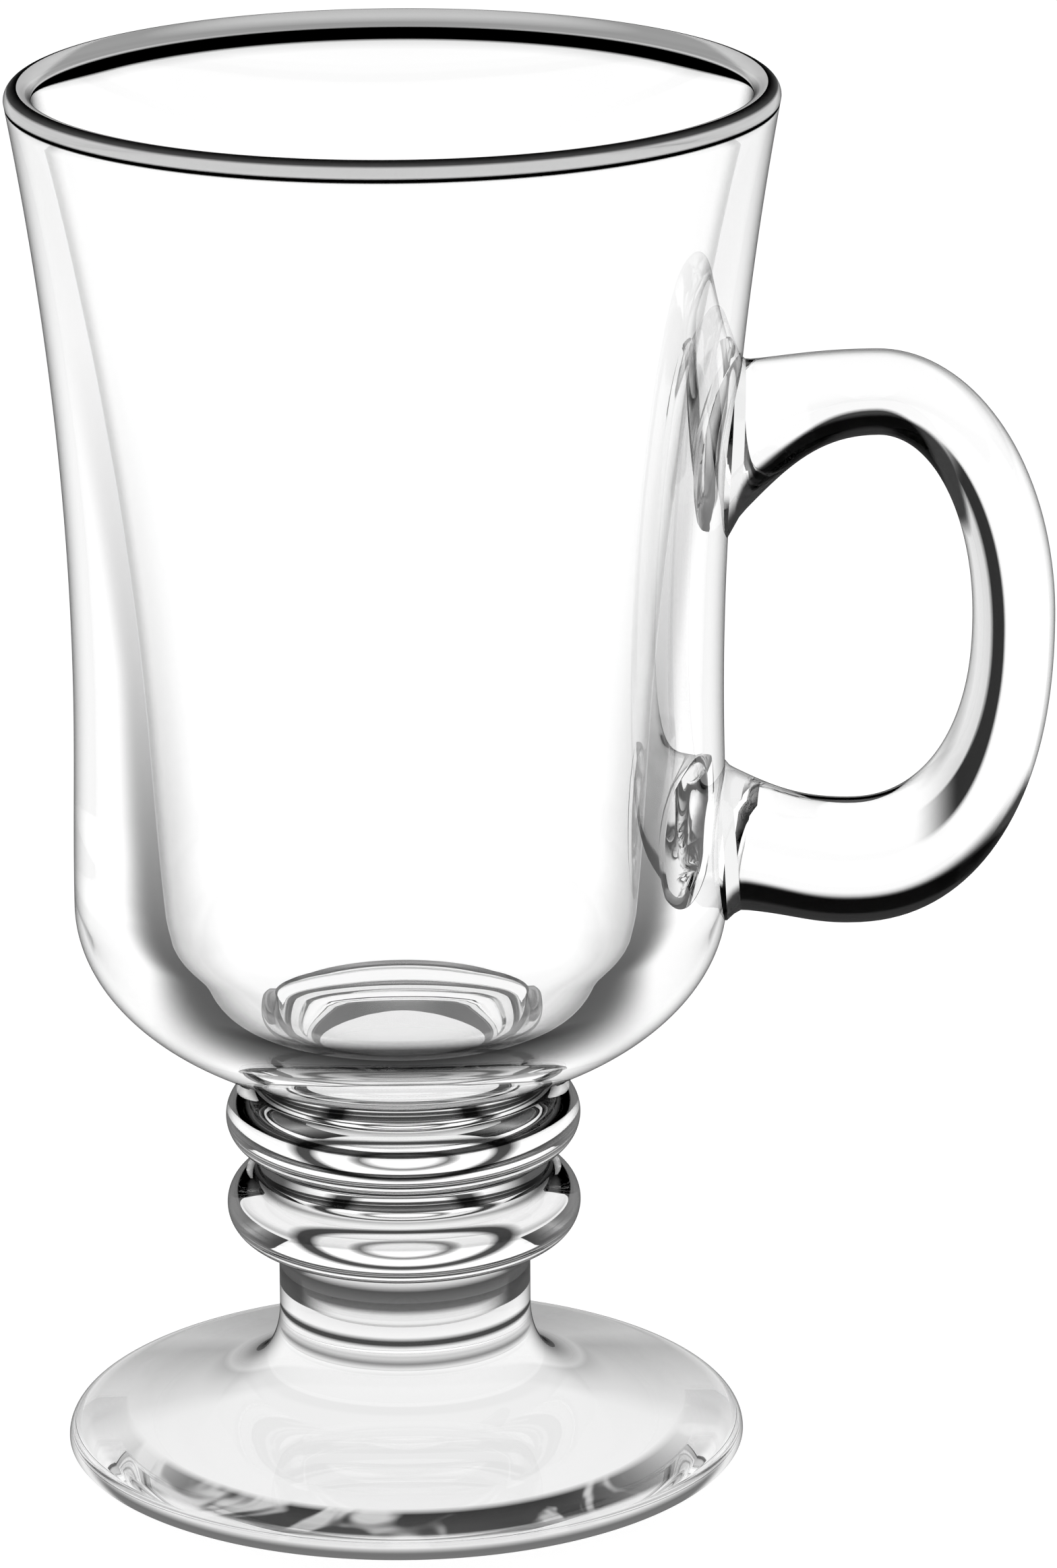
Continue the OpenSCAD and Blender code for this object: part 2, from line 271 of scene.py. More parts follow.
def footOutline():
    sizes = footSizes
    neck, flareRadius, flareFoot = stemSizes["neckRadius"], sizes["flareRadius"], sizes["flareFoot"]
    edgeTop = sizes["edgeHeight"] + sizes["edgeRound"]
    faceEnd = footRadius - sizes["edgeRound"]
    fall = (flareFoot - edgeTop) / (faceEnd - flareRadius)
    holdRadius = flareRadius - (flareRadius - neck) * sizes["flareHolds"][1]
    holdDrop = (sizes["flareTop"] - flareFoot) * sizes["flareHolds"][0]
    held = [(neck, sizes["flareTop"]), (neck, sizes["flareTop"] - holdDrop),
            (holdRadius, flareFoot + (flareRadius - holdRadius) * fall), (flareRadius, flareFoot)]
    flare = [bendPoint(held, i / sizes["flareSteps"]) for i in range(sizes["flareSteps"] + 1)]
    face = [flare[-1].lerp(Vector((faceEnd, edgeTop)), i / sizes["faceSteps"]) for i in range(1, sizes["faceSteps"])]
    edge = arcPoints((faceEnd, sizes["edgeHeight"]), sizes["edgeRound"], 90, 0, sizes["edgeSteps"])
    rest = Vector((sizes["restRadius"], footBase))
    bevel = [edge[-1].lerp(rest, i / sizes["bevelSteps"]) for i in range(1, sizes["bevelSteps"] + 1)]
    hollow = []
    for i in range(sizes["hollowSteps"] + 1):
        a = math.pi / 2 * i / sizes["hollowSteps"]
        fullness = sizes["hollowFullness"]
        reach = (sizes["restRadius"] - sizes["restWidth"]) * fullCurve(math.cos(a), fullness)
        hollow.append(Vector((reach if i < sizes["hollowSteps"] else 0,
                              footBase + sizes["hollowDepth"] * fullCurve(math.sin(a), fullness))))
    return [Vector((0, footSeat)), Vector((neck, footSeat))] + flare + face + edge + bevel + hollow


footPiece = turnOutline("footGlass", footOutline())
print("foot turned:", len(footPiece.data.polygons), "faces")


# Handle

handleLow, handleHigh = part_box("handle")
handleSizes = {
    "sideHeight": 47.5,                       # over the bowl's seat, where the handle reaches out farthest
    "crownX": 48.6, "lowX": 46.0,
    "barThickness": 8.4, "lowerArm": 13.0, "barWidth": 12.0,
    "upperRoot": 18.2, "lowerRoot": 15.0, "rootWidth": 14.5,
    "rootDip": 1.1, "rootRise": 1.7, "rootIn": 2.7, "rootFillet": 1.2,
    "upperBend": 2.0, "lowerBend": 2.25,
    "armHolds": (0.33, 0.55), "webHolds": (0.4, 0.42), "webDrop": 0.52,
    "barSides": 56, "squareness": 0.112,      # how far the section's round is drawn to a square
    "rootSteps": 26, "arcSteps": 36,
}
handleReach, crownZ, lowZ = handleHigh.x / mm, handleHigh.z / mm, handleLow.z / mm
sideZ = bowlSeat + handleSizes["sideHeight"]
rootLowZ = lowZ + handleSizes["rootRise"]


def upperArm(t):                              # outer and inner point of the bar, from the bowl to the crown
    sizes = handleSizes
    start = bowlRadius(crownZ) - sizes["rootIn"]
    run = sizes["crownX"] - start
    top = crownZ - sizes["rootDip"]
    outer = bendPoint([(start, top), (start + run * sizes["armHolds"][0], top),
                       (start + run * sizes["armHolds"][1], crownZ), (sizes["crownX"], crownZ)], t)
    low, high = crownZ - sizes["upperRoot"], crownZ - sizes["barThickness"]
    start = bowlRadius(low) - sizes["rootIn"]
    run = sizes["crownX"] - start
    inner = bendPoint([(start, low - sizes["rootIn"]),
                       (start + run * sizes["webHolds"][0], low + (high - low) * (1 - sizes["webDrop"])),
                       (sizes["crownX"] - run * sizes["webHolds"][1], high), (sizes["crownX"], high)], t)
    return outer, inner


def lowerArm(t):                              # from the lowest point back to the bowl
    sizes = handleSizes
    start = bowlRadius(rootLowZ) - sizes["rootIn"]
    run = sizes["lowX"] - start
    outer = bendPoint([(sizes["lowX"], lowZ), (sizes["lowX"] - run * sizes["armHolds"][0], lowZ),
                       (start + run * sizes["armHolds"][1], rootLowZ), (start, rootLowZ)], t)
    high, low = rootLowZ + sizes["lowerRoot"], lowZ + sizes["lowerArm"]
    start = bowlRadius(high) - sizes["rootIn"]
    run = sizes["lowX"] - start
    inner = bendPoint([(sizes["lowX"], low), (sizes["lowX"] - run * sizes["webHolds"][1], low),
                       (start + run * sizes["webHolds"][0], low + (high - low) * sizes["webDrop"]),
                       (start, high + sizes["rootIn"] / 2)], t)
    return outer, inner


def barTurn(middleX, out, up, fullness, t):   # a point on a quarter turn of the bar
    a = math.pi / 2 * t
    return Vector((middleX + out * fullCurve(math.cos(a), fullness), sideZ + up * fullCurve(math.sin(a), fullness)))


def filletGrowth(away):                       # how much a section grows where it runs into the bowl
    fillet = handleSizes["rootFillet"]
    if away >= fillet:
        return 0
    return fillet - math.sqrt(fillet ** 2 - (fillet - max(away, 0)) ** 2)


def barStations():                            # middle, direction across the bar, half thickness and half width
    sizes = handleSizes
    roots, arcs, bar = sizes["rootSteps"], sizes["arcSteps"], sizes["barThickness"]
    pairs = [upperArm(i / roots) + (1 - ease(i / roots),) for i in range(roots + 1)]
    for i in range(1, arcs + 1):
        t = 1 - i / arcs
        pairs.append((barTurn(sizes["crownX"], handleReach - sizes["crownX"], crownZ - sideZ, sizes["upperBend"], t),
                      barTurn(sizes["crownX"], handleReach - bar - sizes["crownX"], crownZ - bar - sideZ,
                              sizes["upperBend"], t), 0))
    for i in range(1, arcs + 1):
        t = i / arcs
        pairs.append((barTurn(sizes["lowX"], handleReach - sizes["lowX"], lowZ - sideZ, sizes["lowerBend"], t),
                      barTurn(sizes["lowX"], handleReach - bar - sizes["lowX"], lowZ + sizes["lowerArm"] - sideZ,
                              sizes["lowerBend"], t), 0))
    pairs += [lowerArm(i / roots) + (ease(i / roots),) for i in range(1, roots + 1)]
    stations = []
    for outer, inner, widening in pairs:
        middle = (outer + inner) / 2
        grow = filletGrowth(middle.x - bowlRadius(middle.y))
        halfWide = (sizes["barWidth"] + (sizes["rootWidth"] - sizes["barWidth"]) * widening) / 2
        across = outer - inner
        stations.append((middle, math.atan2(across.y, across.x), across.length / 2 + grow, halfWide + grow))
    return stations


def sweepBar(name):                           # one ring, pushed on from station to station
    stations = barStations()
    middle, slant, halfThick, halfWide = stations[0]
    bpy.ops.object.select_all(action="DESELECT")
    bpy.ops.mesh.primitive_circle_add(vertices=handleSizes["barSides"], radius=mm, fill_type="NGON", location=(0, 0, 0))
    piece = bpy.context.object
    piece.name = piece.data.name = name
    squarer = piece.modifiers.new("squarer section", "CAST")
    squarer.cast_type = "CUBOID"
    squarer.factor = handleSizes["squareness"]
    bpy.ops.object.modifier_apply(modifier=squarer.name)
    bpy.ops.object.mode_set(mode="EDIT")
    bpy.ops.mesh.select_all(action="SELECT")
    bpy.ops.transform.resize(value=(halfThick, halfWide, 1), center_override=(0, 0, 0))
    bpy.ops.transform.rotate(value=slant, orient_axis="Y", orient_type="GLOBAL", center_override=(0, 0, 0))
    bpy.ops.transform.translate(value=(middle.x * mm, 0, middle.y * mm))
    for here, after in zip(stations, stations[1:]):
        step = (after[0] - here[0]) * mm
        turn = (after[1] - here[1] + math.pi) % (2 * math.pi) - math.pi
        centre = (after[0].x * mm, 0, after[0].y * mm)
        c, s = math.cos(after[1]), math.sin(after[1])
        axes = Matrix(((c, 0, -s), (0, 1, 0), (s, 0, c)))
        bpy.ops.mesh.extrude_region_move(TRANSFORM_OT_translate={"value": (step.x, 0, step.y)})
        bpy.ops.transform.rotate(value=turn, orient_axis="Y", orient_type="GLOBAL", center_override=centre)
        bpy.ops.transform.resize(value=(after[2] / here[2], after[3] / here[3], 1), orient_type="LOCAL",
                                 orient_matrix=axes, orient_matrix_type="LOCAL", center_override=centre)
    bpy.ops.mesh.select_all(action="SELECT")
    bpy.ops.mesh.normals_make_consistent(inside=False)
    bpy.ops.object.mode_set(mode="OBJECT")
    return piece


def carve(piece, tool, cutFace):              # takes the tool's shape out of the piece, and marks the cut as welded
    chooseOnly(piece)
    cut = piece.modifiers.new(cutFace, "BOOLEAN")
    cut.operation = "DIFFERENCE"
    cut.object = tool
    cut.solver = "EXACT"
    cut.material_mode = "TRANSFER"
    bpy.ops.object.modifier_apply(modifier=cut.name)


handlePiece = sweepBar("handleGlass")
print("handle swept:", len(handlePiece.data.polygons), "faces")


# Materials

glassLook = {
    "refraction": 1.52,
    "roughness": 0.0,
    "tint": (1.0, 1.0, 1.0, 1.0),
    "shadowTint": (0.93, 0.93, 0.93, 1.0),
    # painted shade: the black that every painted dark edge, line and band is mixed from
    "edgeTint": (0.0, 0.0, 0.0, 1.0),
    "edgeFrom": 0.55,                         # how far the surface turns from the eye before a painted dark edge begins
    "edgeFull": 1.0,
    "edgeDark": 0.9,
    "turnFrom": 0.247, "turnTo": 0.42,        # glass seen from inside throws all light back past this turn, and painted shade darkens it there, most right at that turn
    "turnDark": 1.0,                          # darkens it, most right at that turn
    "longPath": 11, "longPathLevel": 0.9,     # paths caught in the glass this long end in a painted pale glow at the level of the surroundings
    "rippleSize": 55.0, "rippleDetail": 1.0, "rippleDepth": 0.12, "rippleStrength": 0.12,
}
# What each piece adds: painted dark and pale bands, which stand for shade and reflections of the surroundings, by
# height or radius in millimetres, or by how far the surface turns.
# A list of pairs gives the places and the darkness from 0 to 1 at each.
bowlLook = {
    "longPath": 4,
    "edgeFrom": 0.7,
    "heart": 90.0,                            # a height inside the cavity, for telling its side from the outer side
    # painted shade on the bowl: dark along the cavity's sides by height, and a dark band low on the bowl
    "turnHeights": ((52, 0.98), (60, 0.94), (72, 0.76), (92, 0.45), (125, 0.13)),
    "turnTo": ((51, 0.38), (54, 0.39), (60, 0.37), (70, 0.34), (90, 0.31)),
    "fullness": 2.5,                          # how long the painted shade at the cavity's edge stays dark before it fades
    "nearFrom": 0.15, "nearDark": 0.55,
    "lowHeights": ((53.0, 0.0), (54.2, 0.85), (56.2, 0.85), (57.4, 0.0)), "lowFrom": 0.3, "lowGone": 0.46,
    # heights over the line where the lip begins to turn: a painted dark line outside, a pale top, a painted black band
    # inside; these stand for reflections of the dark surroundings
    "rimOuter": ((-1.2, 0.0), (-0.75, 0.1), (-0.6, 1.0), (-0.3, 1.0), (-0.1, 0.2), (0.75, 0.16), (0.95, 0.9),
                 (1.35, 1.0)),
    "rimInner": ((-2.6, 0.0), (-1.75, 0.2), (-1.5, 1.0), (-0.35, 1.0), (-0.15, 0.15), (0.9, 0.1), (1.4, 0.2)),
    "rimThin": (0.35, 0.95, 0.1),             # the painted inner band thins to a tenth where the lip is seen edge on
    # painted highlight: the lip's top glows pale, by height over the lip's turn
    "rimPale": ((-0.6, 0.0), (-0.1, 0.6), (1.4, 0.6)), "rimLevel": 0.6,
}
footLook = {
    # painted light: a pale glow on the underside, standing for the ground seen through it
    "groundReach": 2.4, "groundLevel": 0.9, "groundShare": 0.92, "groundEdge": 27.0, "groundGone": 31.5,
    "turnTo": 0.36, "turnDark": 0.08,
    # painted shade on the foot: a dark band near the edge, a dark edge line and dark lines at the neck
    "bandRadii": ((28.6, 0.0), (29.6, 0.95), (32.9, 0.9), (33.6, 0.1), (36.0, 0.1)),
    "bandFrom": 0.44, "bandGone": 0.6, "bandLeast": 0.12,        # the painted dark band shows on the side towards the eye and is broken by paler patches
    "patchSize": 95.0, "patchDetail": 2.0, "patchBend": 1.5,     # and is broken by paler patches
    "patchFrom": 0.4, "patchFull": 0.52, "patchLeast": 0.35,
    "edgeLine": ((34.95, 0.0), (35.35, 0.8), (36.0, 0.8)),
    "neckLines": ((14.5, 0.0), (15.0, 0.6), (15.5, 0.0), (16.6, 0.0), (17.0, 0.93), (17.4, 0.93), (17.9, 0.0)),
}
# painted shade on the handle: a dark band on the bar's inner side, dark undersides and dark roots
handleLook = {
    "loopMiddle": (38.0, 0.0, 88.0),          # the painted dark band follows the side of the bar that looks at this point
    "band": ((0.0, 0.0), (0.1, 0.1), (0.17, 0.97), (0.42, 0.97), (0.5, 0.35), (0.9, 0.25), (1.0, 0.5)),
    "sideFrom": 52.0, "sideFull": 57.0,
    "lowerFull": 68.0, "lowerGone": 84.0, "lowerWider": 0.14,    # it is wider low down
    "underFrom": 0.2, "underFull": 0.33, "underDark": 0.95,      # how far a surface leans down before painted shade makes it dark
    "rootEnd": 36.0, "rootGone": 41.0, "rootTurnTo": 0.7,
}
# painted shade on the stem: dark in the grooves between the rings, dark lines on the neck, dark rings on the knops
stemLook = {
    "turnTo": 0.6, "turnDark": 1.0,
    "grooveDeep": 15.4, "grooveOut": 16.8, "grooveTurn": 0.2, "grooveFull": 0.5, "grooveDark": 0.9,
    "neckLines": ((20.3, 0.0), (20.9, 0.8), (22.9, 0.92), (23.6, 0.4), (24.5, 0.0)),
    # painted dark rings around the place on each knop that looks at the eye
    "eyes": ((0.015, 0.0), (0.03, 0.8), (0.04, 0.5), (0.05, 0.0), (0.11, 0.0), (0.14, 0.93), (0.18, 0.93), (0.23, 0.0)),
    "eyesFrom": 24.0, "eyesFull": 25.0,
}


def newMaterial(name):
    material = bpy.data.materials.new(name)
    material.use_nodes = True
    material.node_tree.nodes.clear()
    return material, material.node_tree.nodes, material.node_tree.links


def weldMaterial():                           # glass meets glass here, so nothing bends or shines
    material, nodes, links = newMaterial("weldedGlass")
    clear = nodes.new("ShaderNodeBsdfTransparent")
    out = nodes.new("ShaderNodeOutputMaterial")
    links.new(clear.outputs["BSDF"], out.inputs["Surface"])
    return material


def fill(material, socket, value):            # a plain value is set on the socket, and another socket is linked to it
    if isinstance(value, (int, float, tuple)):
        socket.default_value = value
    elif value is not None:
        material.node_tree.links.new(value, socket)


def number(material, operation, *inputs):     # one step of arithmetic that stays between 0 and 1
    step = material.node_tree.nodes.new("ShaderNodeMath")
    step.operation = operation
    step.use_clamp = True
    for socket, value in zip(step.inputs, inputs):
        fill(material, socket, value)
    return step.outputs[0]


def fade(material, value, start, end, atStart, atEnd):
    ramp = material.node_tree.nodes.new("ShaderNodeMapRange")
    ramp.interpolation_type = "SMOOTHSTEP"
    for name, level in (("Value", value), ("From Min", start), ("From Max", end), ("To Min", atStart), ("To Max", atEnd)):
        fill(material, ramp.inputs[name], level)
    return ramp.outputs["Result"]


def blend(material, factor, first, second):
    mix = material.node_tree.nodes.new("ShaderNodeMixShader")
    material.node_tree.links.new(factor, mix.inputs["Fac"])
    material.node_tree.links.new(first, mix.inputs[1])
    material.node_tree.links.new(second, mix.inputs[2])
    return mix.outputs["Shader"]


def vectorStep(material, operation, first, second, scale=None):
    step = material.node_tree.nodes.new("ShaderNodeVectorMath")
    step.operation = operation
    for socket, value in zip(step.inputs, (first, second)):
        fill(material, socket, value)
    if scale is not None:
        step.inputs["Scale"].default_value = scale
    return step


def levels(material, value, stops):           # a curve through (place, level) pairs, places rising
    low, high = stops[0][0], stops[-1][0]
    share = material.node_tree.nodes.new("ShaderNodeMapRange")
    share.inputs["From Min"].default_value = low
    share.inputs["From Max"].default_value = high
    material.node_tree.links.new(value, share.inputs["Value"])
    ramp = material.node_tree.nodes.new("ShaderNodeValToRGB")
    marks = ramp.color_ramp.elements
    while len(marks) < len(stops):
        marks.new(1.0)
    for mark, (place, level) in zip(marks, stops):
        mark.position = (place - low) / (high - low)
        mark.color = (level, level, level, 1)
    material.node_tree.links.new(share.outputs["Result"], ramp.inputs["Fac"])
    return ramp.outputs["Color"]


def plain(material, operation, *inputs):      # arithmetic that may leave the range from 0 to 1
    result = number(material, operation, *inputs)
    result.node.use_clamp = False
    return result


def opposite(material, share):
    return number(material, "SUBTRACT", 1.0, share)


def greater(material, first, *others):
    for other in others:
        first = number(material, "MAXIMUM", first, other)
    return first


def product(material, first, *others):
    for other in others:
        first = number(material, "MULTIPLY", first, other)
    return first


def fromAxis(material, place):                # how far a place is from the mug's axis, in millimetres
    flat = vectorStep(material, "MULTIPLY", place, (1 / mm, 1 / mm, 0)).outputs["Vector"]
    return vectorStep(material, "LENGTH", flat, None).outputs["Value"]


def paintedPaleGlow(material, level):                # painted light: a pale glow that stands for the bright surroundings
    glow = material.node_tree.nodes.new("ShaderNodeEmission")
    glow.inputs["Strength"].default_value = level
    return glow.outputs["Emission"]


def rippleGroup():                            # the faint waves of fire-polished glass
    group = bpy.data.node_groups.new("glassRipple", "ShaderNodeTree")
    group.interface.new_socket("Place", in_out="INPUT", socket_type="NodeSocketVector")
    group.interface.new_socket("Normal", in_out="OUTPUT", socket_type="NodeSocketVector")
    inlet = group.nodes.new("NodeGroupInput")
    outlet = group.nodes.new("NodeGroupOutput")
    wave = group.nodes.new("ShaderNodeTexNoise")
    wave.inputs["Scale"].default_value = glassLook["rippleSize"]
    wave.inputs["Detail"].default_value = glassLook["rippleDetail"]
    bump = group.nodes.new("ShaderNodeBump")
    bump.inputs["Strength"].default_value = glassLook["rippleStrength"]
    bump.inputs["Distance"].default_value = glassLook["rippleDepth"] * mm
    group.links.new(inlet.outputs["Place"], wave.inputs["Vector"])
    group.links.new(wave.outputs["Fac"], bump.inputs["Height"])
    group.links.new(bump.outputs["Normal"], outlet.inputs["Normal"])
    return group


# painted shade: black mixed into glass seen from inside past the turn where it throws all light back
def paintedTurnShade(material, facing, inside, turnTo, turnDark, fullness=1.0):
    light = number(material, "POWER", fade(material, facing, glassLook["turnFrom"], turnTo, 0, 1), fullness)
    thrownBack = number(material, "GREATER_THAN", facing, glassLook["turnFrom"])
    return product(material, opposite(material, light), turnDark, thrownBack, inside)


# painted shade on the bowl: dark where the cavity's sides are seen through the wall, and a dark band low down
def bowlDark(material, facing, geometry, place, height):
    inside = geometry["Backfacing"]
    turnTo = levels(material, height, bowlLook["turnTo"])
    turned = paintedTurnShade(material, facing, inside, turnTo, 1.0, bowlLook["fullness"])
    nearly = fade(material, facing, bowlLook["nearFrom"], glassLook["turnFrom"], 0, bowlLook["nearDark"])
    nearly = product(material, nearly, number(material, "LESS_THAN", facing, glassLook["turnFrom"]), inside)
    fromHeart = vectorStep(material, "SUBTRACT", place, (0, 0, bowlLook["heart"] * mm)).outputs["Vector"]
    outward = vectorStep(material, "DOT_PRODUCT", geometry["Normal"], fromHeart).outputs["Value"]
    cavitySide = number(material, "GREATER_THAN", outward, 0)
    dark = product(material, greater(material, turned, nearly), cavitySide,
                   levels(material, height, bowlLook["turnHeights"]))
    low = fade(material, facing, bowlLook["lowFrom"], bowlLook["lowGone"], 1, 0)
    low = product(material, low, levels(material, height, bowlLook["lowHeights"]), opposite(material, inside), cavitySide)
    return greater(material, dark, low)


# painted reflection on the lip: dark bands inside and outside, by height over the lip's turn
def rimDark(material, facing, geometry, place, height):
    away = fromAxis(material, place)
    lipMiddle = bowlRadiusLip - bowlSizes["lipThickness"] / 2
    up = plain(material, "SUBTRACT", height, lipTurnZ)
    start, end, least = bowlLook["rimThin"]
    thinned = plain(material, "DIVIDE", up, fade(material, facing, start, end, 1, least))
    innerSide = levels(material, plain(material, "MINIMUM", up, thinned), bowlLook["rimInner"])
    innerSide = product(material, innerSide, opposite(material, geometry["Backfacing"]))
    inner = product(material, number(material, "LESS_THAN", away, lipMiddle), innerSide)
    outer = product(material, number(material, "GREATER_THAN", away, lipMiddle),
                    levels(material, up, bowlLook["rimOuter"]))
    return greater(material, inner, outer)


# painted shade on the stem: dark past the turn, in the grooves, on the neck and in rings on the knops
def stemDark(material, facing, inside, place, height):
    look = stemLook
    turned = paintedTurnShade(material, facing, inside, look["turnTo"], look["turnDark"])
    deep = fade(material, fromAxis(material, place), look["grooveDeep"], look["grooveOut"], look["grooveDark"], 0)
    deep = product(material, deep, fade(material, facing, look["grooveTurn"], look["grooveFull"], 0, 1))
    eyes = product(material, levels(material, facing, look["eyes"]),
                   fade(material, height, look["eyesFrom"], look["eyesFull"], 0, 1))
    lines = greater(material, levels(material, height, look["neckLines"]), eyes)
    return greater(material, turned, deep, product(material, lines, opposite(material, inside)))


# painted shade on the foot: dark past the turn, a dark band near the edge, an edge line and neck lines
def footDark(material, facing, inside, place, height):
    look = footLook
    turned = paintedTurnShade(material, facing, inside, look["turnTo"], look["turnDark"])
    away = fromAxis(material, place)
    patch = material.node_tree.nodes.new("ShaderNodeTexNoise")
    patch.inputs["Scale"].default_value = look["patchSize"]
    patch.inputs["Detail"].default_value = look["patchDetail"]
    patch.inputs["Distortion"].default_value = look["patchBend"]
    material.node_tree.links.new(place, patch.inputs["Vector"])
    patches = fade(material, patch.outputs["Fac"], look["patchFrom"], look["patchFull"], look["patchLeast"], 1)
    band = product(material, levels(material, away, look["bandRadii"]), patches)
    band = greater(material, band, levels(material, away, look["edgeLine"]))
    band = product(material, band, fade(material, facing, look["bandFrom"], look["bandGone"], 1, look["bandLeast"]))
    band = greater(material, band, levels(material, height, look["neckLines"]))
    return greater(material, turned, product(material, band, opposite(material, inside)))


# painted shade on the handle: a dark inner band, dark undersides, dark past the turn and at the roots
def handleDark(material, facing, geometry, place, across, height):
    look, inside = handleLook, geometry["Backfacing"]
    outside = opposite(material, inside)
    toLoop = vectorStep(material, "SUBTRACT", tuple(part * mm for part in look["loopMiddle"]), place).outputs["Vector"]
    toLoop = vectorStep(material, "NORMALIZE", toLoop, None).outputs["Vector"]
    inward = vectorStep(material, "DOT_PRODUCT", geometry["Normal"], toLoop).outputs["Value"]
    lower = fade(material, height, look["lowerFull"], look["lowerGone"], look["lowerWider"], 0)
    band = greater(material, levels(material, inward, look["band"]),
                   levels(material, number(material, "ADD", inward, lower), look["band"]))
    band = product(material, band, fade(material, across, look["sideFrom"], look["sideFull"], 0, 1), outside)
    tilt = vectorStep(material, "DOT_PRODUCT", geometry["Normal"], (0, 0, -1)).outputs["Value"]
    under = fade(material, tilt, look["underFrom"], look["underFull"], 0, 1)
    under = product(material, under, outside, look["underDark"])
    turned = paintedTurnShade(material, facing, inside, glassLook["turnTo"], glassLook["turnDark"])
    root = paintedTurnShade(material, facing, inside, look["rootTurnTo"], 1.0)
    root = product(material, root, fade(material, across, look["rootEnd"], look["rootGone"], 1, 0))
    return greater(material, band, under, turned, root)


def glassMaterial(name):
    material, nodes, links = newMaterial(name)
    place = nodes.new("ShaderNodeTexCoord").outputs["Object"]
    ripple = nodes.new("ShaderNodeGroup")
    ripple.node_tree = bpy.data.node_groups["glassRipple"]
    links.new(place, ripple.inputs["Place"])
    glass = nodes.new("ShaderNodeBsdfPrincipled")
    glass.inputs["Base Color"].default_value = glassLook["tint"]
    glass.inputs["Roughness"].default_value = glassLook["roughness"]
    glass.inputs["IOR"].default_value = glassLook["refraction"]
    glass.inputs["Transmission Weight"].default_value = 1.0
    links.new(ripple.outputs["Normal"], glass.inputs["Normal"])
    # painted shade: a black Diffuse that the masks below mix into the glass
    dark = nodes.new("ShaderNodeBsdfDiffuse")
    dark.inputs["Color"].default_value = glassLook["edgeTint"]
    passing = nodes.new("ShaderNodeBsdfTransparent")
    passing.inputs["Color"].default_value = glassLook["shadowTint"]
    facing = nodes.new("ShaderNodeLayerWeight").outputs["Facing"]
    geometry = nodes.new("ShaderNodeNewGeometry").outputs
    inside = geometry["Backfacing"]
    rays = nodes.new("ShaderNodeLightPath").outputs
    split = nodes.new("ShaderNodeSeparateXYZ")
    links.new(vectorStep(material, "SCALE", place, None, 1 / mm).outputs["Vector"], split.inputs["Vector"])
    height = split.outputs["Z"]
    clear = glass.outputs["BSDF"]
    edgeFrom, longPath = glassLook["edgeFrom"], glassLook["longPath"]
    if name == "bowlGlass":
        edgeFrom, longPath = bowlLook["edgeFrom"], bowlLook["longPath"]
        more = greater(material, bowlDark(material, facing, geometry, place, height),
                       rimDark(material, facing, geometry, place, height))
        # painted highlight: the lip's top glows pale
        paintedLipGlow = levels(material, plain(material, "SUBTRACT", height, lipTurnZ), bowlLook["rimPale"])
        clear = blend(material, paintedLipGlow, clear, paintedPaleGlow(material, bowlLook["rimLevel"]))
    elif name == "handleGlass":
        more = handleDark(material, facing, geometry, place, split.outputs["X"], height)
    elif name == "stemGlass":
        more = stemDark(material, facing, inside, place, height)
    else:
        more = footDark(material, facing, inside, place, height)
    # painted shade: a dark edge where the surface turns from the eye
    edge = fade(material, facing, edgeFrom, glassLook["edgeFull"], 0, glassLook["edgeDark"])
    edge = product(material, edge, opposite(material, inside))
    look = blend(material, greater(material, edge, more), clear, dark.outputs["BSDF"])
    if name == "footGlass":                   # painted light: the underside glows pale, standing for the ground that the foot stands on
        low = fade(material, fromAxis(material, place), footLook["groundEdge"], footLook["groundGone"], 1, 0)
        low = product(material, low, number(material, "LESS_THAN", height, footLook["groundReach"]), inside,
                      footLook["groundShare"])
        look = blend(material, low, look, paintedPaleGlow(material, footLook["groundLevel"]))
    # painted light: paths caught this long in the glass end in a pale glow
    caught = number(material, "GREATER_THAN", rays["Ray Depth"], longPath)
    look = blend(material, caught, look, paintedPaleGlow(material, glassLook["longPathLevel"]))
    lighting = greater(material, rays["Is Shadow Ray"], rays["Is Diffuse Ray"])
    look = blend(material, lighting, look, passing.outputs["BSDF"])
    links.new(look, nodes.new("ShaderNodeOutputMaterial").inputs["Surface"])
    return material


rippleGroup()
weldedGlass = weldMaterial()
glassPieces = (bowlPiece, stemPiece, footPiece, handlePiece)
for piece in glassPieces:
    piece.data.materials.append(glassMaterial(piece.name))
    piece.data.materials.append(weldedGlass)
weldSeat(bowlPiece, bowlSeat)
weldSeat(stemPiece, stemTop)
weldSeat(stemPiece, stemSeat)
weldSeat(footPiece, footSeat)
print("glass on the pieces")


def asTool(piece):
    piece.data.materials.clear()
    piece.data.materials.append(weldedGlass)
    return piece


stamp = handlePiece.copy()
stamp.data = handlePiece.data.copy()
bpy.context.collection.objects.link(stamp)
room = turnOutline("bowlRoom", [Vector((0, bowlSeat))] + bowlSide() + [Vector((0, lipTurnZ))])
carve(bowlPiece, asTool(stamp), "handle seat")
carve(handlePiece, asTool(room), "bowl's outer side")
for tool in (stamp, room):
    bpy.data.objects.remove(tool)
for piece in glassPieces:
    chooseOnly(piece)
    bpy.ops.object.shade_smooth_by_angle(angle=math.radians(turning["smoothAngle"]))
print("roots fitted to the bowl:", len(bowlPiece.data.polygons), len(handlePiece.data.polygons))


# Studio

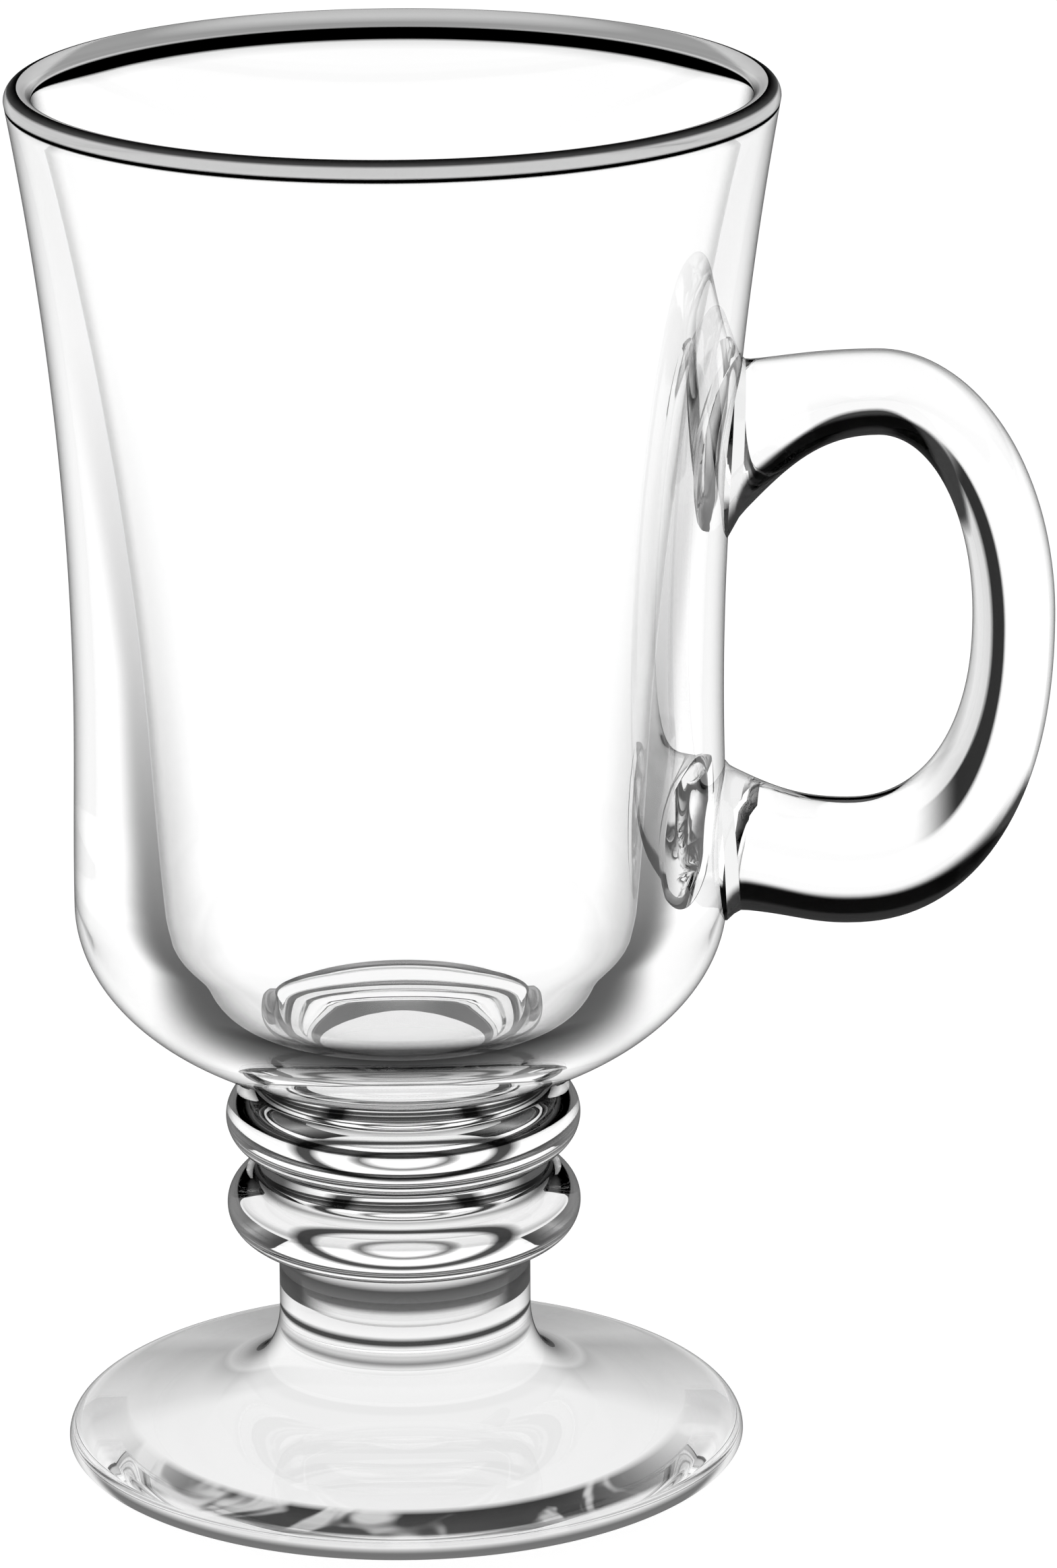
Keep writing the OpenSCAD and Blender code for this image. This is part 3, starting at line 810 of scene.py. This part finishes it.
studio = {
    "floorSize": 3.0,
    "floorDrop": 0.05,
    "floorPale": 0.8,
    "floorGlow": 0.42,
    "surroundings": ((4, 1.0), (7, 0.0), (20, 0.0), (25, 0.58), (60, 0.58), (75, 0.8)),   # degrees up, level
    "worldLight": 0.75,
    "bouncesInGlass": 32, "mirrorBounces": 16,
    "lampPower": 1.6, "lampSize": 0.8, "lampPlace": (-0.3, -0.5, 0.9),
}


def mixLevels(material, share, first, second):
    step = material.node_tree.nodes.new("ShaderNodeMix")
    step.data_type = "FLOAT"
    for socket, value in zip((step.inputs[0], step.inputs[2], step.inputs[3]), (share, first, second)):
        fill(material, socket, value)
    return step.outputs[0]


def buildStudio():
    bpy.ops.object.select_all(action="DESELECT")
    bpy.ops.mesh.primitive_plane_add(size=studio["floorSize"], location=(0, 0, -studio["floorDrop"] * mm))
    floor = bpy.context.object
    floor.name = "studioFloor"
    bpy.ops.object.transform_apply(location=True, rotation=True, scale=True)
    material, nodes, links = newMaterial("paleFloor")
    rays = nodes.new("ShaderNodeLightPath").outputs
    pale = nodes.new("ShaderNodeBsdfDiffuse")
    pale.inputs["Color"].default_value = (studio["floorPale"],) * 3 + (1,)
    seen = number(material, "ADD", number(material, "ADD", rays["Is Camera Ray"], rays["Is Glossy Ray"]),
                  rays["Is Transmission Ray"])
    glow = nodes.new("ShaderNodeEmission")
    links.new(number(material, "MULTIPLY", seen, studio["floorGlow"]), glow.inputs["Strength"])
    both = nodes.new("ShaderNodeAddShader")
    links.new(pale.outputs["BSDF"], both.inputs[0])
    links.new(glow.outputs["Emission"], both.inputs[1])
    links.new(both.outputs["Shader"], nodes.new("ShaderNodeOutputMaterial").inputs["Surface"])
    floor.data.materials.append(material)

    world = bpy.data.worlds.new("studioWorld")
    world.use_nodes = True
    bpy.context.scene.world = world
    nodes, links = world.node_tree.nodes, world.node_tree.links
    nodes.clear()
    parts = nodes.new("ShaderNodeSeparateXYZ")
    links.new(nodes.new("ShaderNodeTexCoord").outputs["Generated"], parts.inputs["Vector"])
    bands = tuple((math.sin(math.radians(height)), level) for height, level in studio["surroundings"])
    rays = nodes.new("ShaderNodeLightPath").outputs
    through = number(world, "ADD", rays["Is Glossy Ray"], rays["Is Transmission Ray"])
    light = mixLevels(world, through, studio["worldLight"], levels(world, parts.outputs["Z"], bands))
    background = nodes.new("ShaderNodeBackground")
    background.inputs["Color"].default_value = (1, 1, 1, 1)
    links.new(mixLevels(world, rays["Is Camera Ray"], light, 1.0), background.inputs["Strength"])
    links.new(background.outputs["Background"], nodes.new("ShaderNodeOutputWorld").inputs["Surface"])

    bpy.ops.object.light_add(type="AREA", location=studio["lampPlace"])
    lamp = bpy.context.object
    lamp.data.shape = "DISK"
    lamp.data.size = studio["lampSize"]
    lamp.data.energy = studio["lampPower"]
    lamp.rotation_euler = Vector(studio["lampPlace"]).to_track_quat("Z", "Y").to_euler()
    lamp.visible_glossy = False
    lamp.visible_transmission = False


buildStudio()
bpy.context.scene.view_settings.view_transform = "Standard"
tracing = bpy.context.scene.cycles
tracing.max_bounces = tracing.transmission_bounces = tracing.transparent_max_bounces = studio["bouncesInGlass"]
tracing.glossy_bounces = studio["mirrorBounces"]
tracing.caustics_reflective = False
tracing.caustics_refractive = False

for piece in glassPieces:
    node = piece.name.replace("Glass", "")
    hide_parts(node)
    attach(piece, "root")
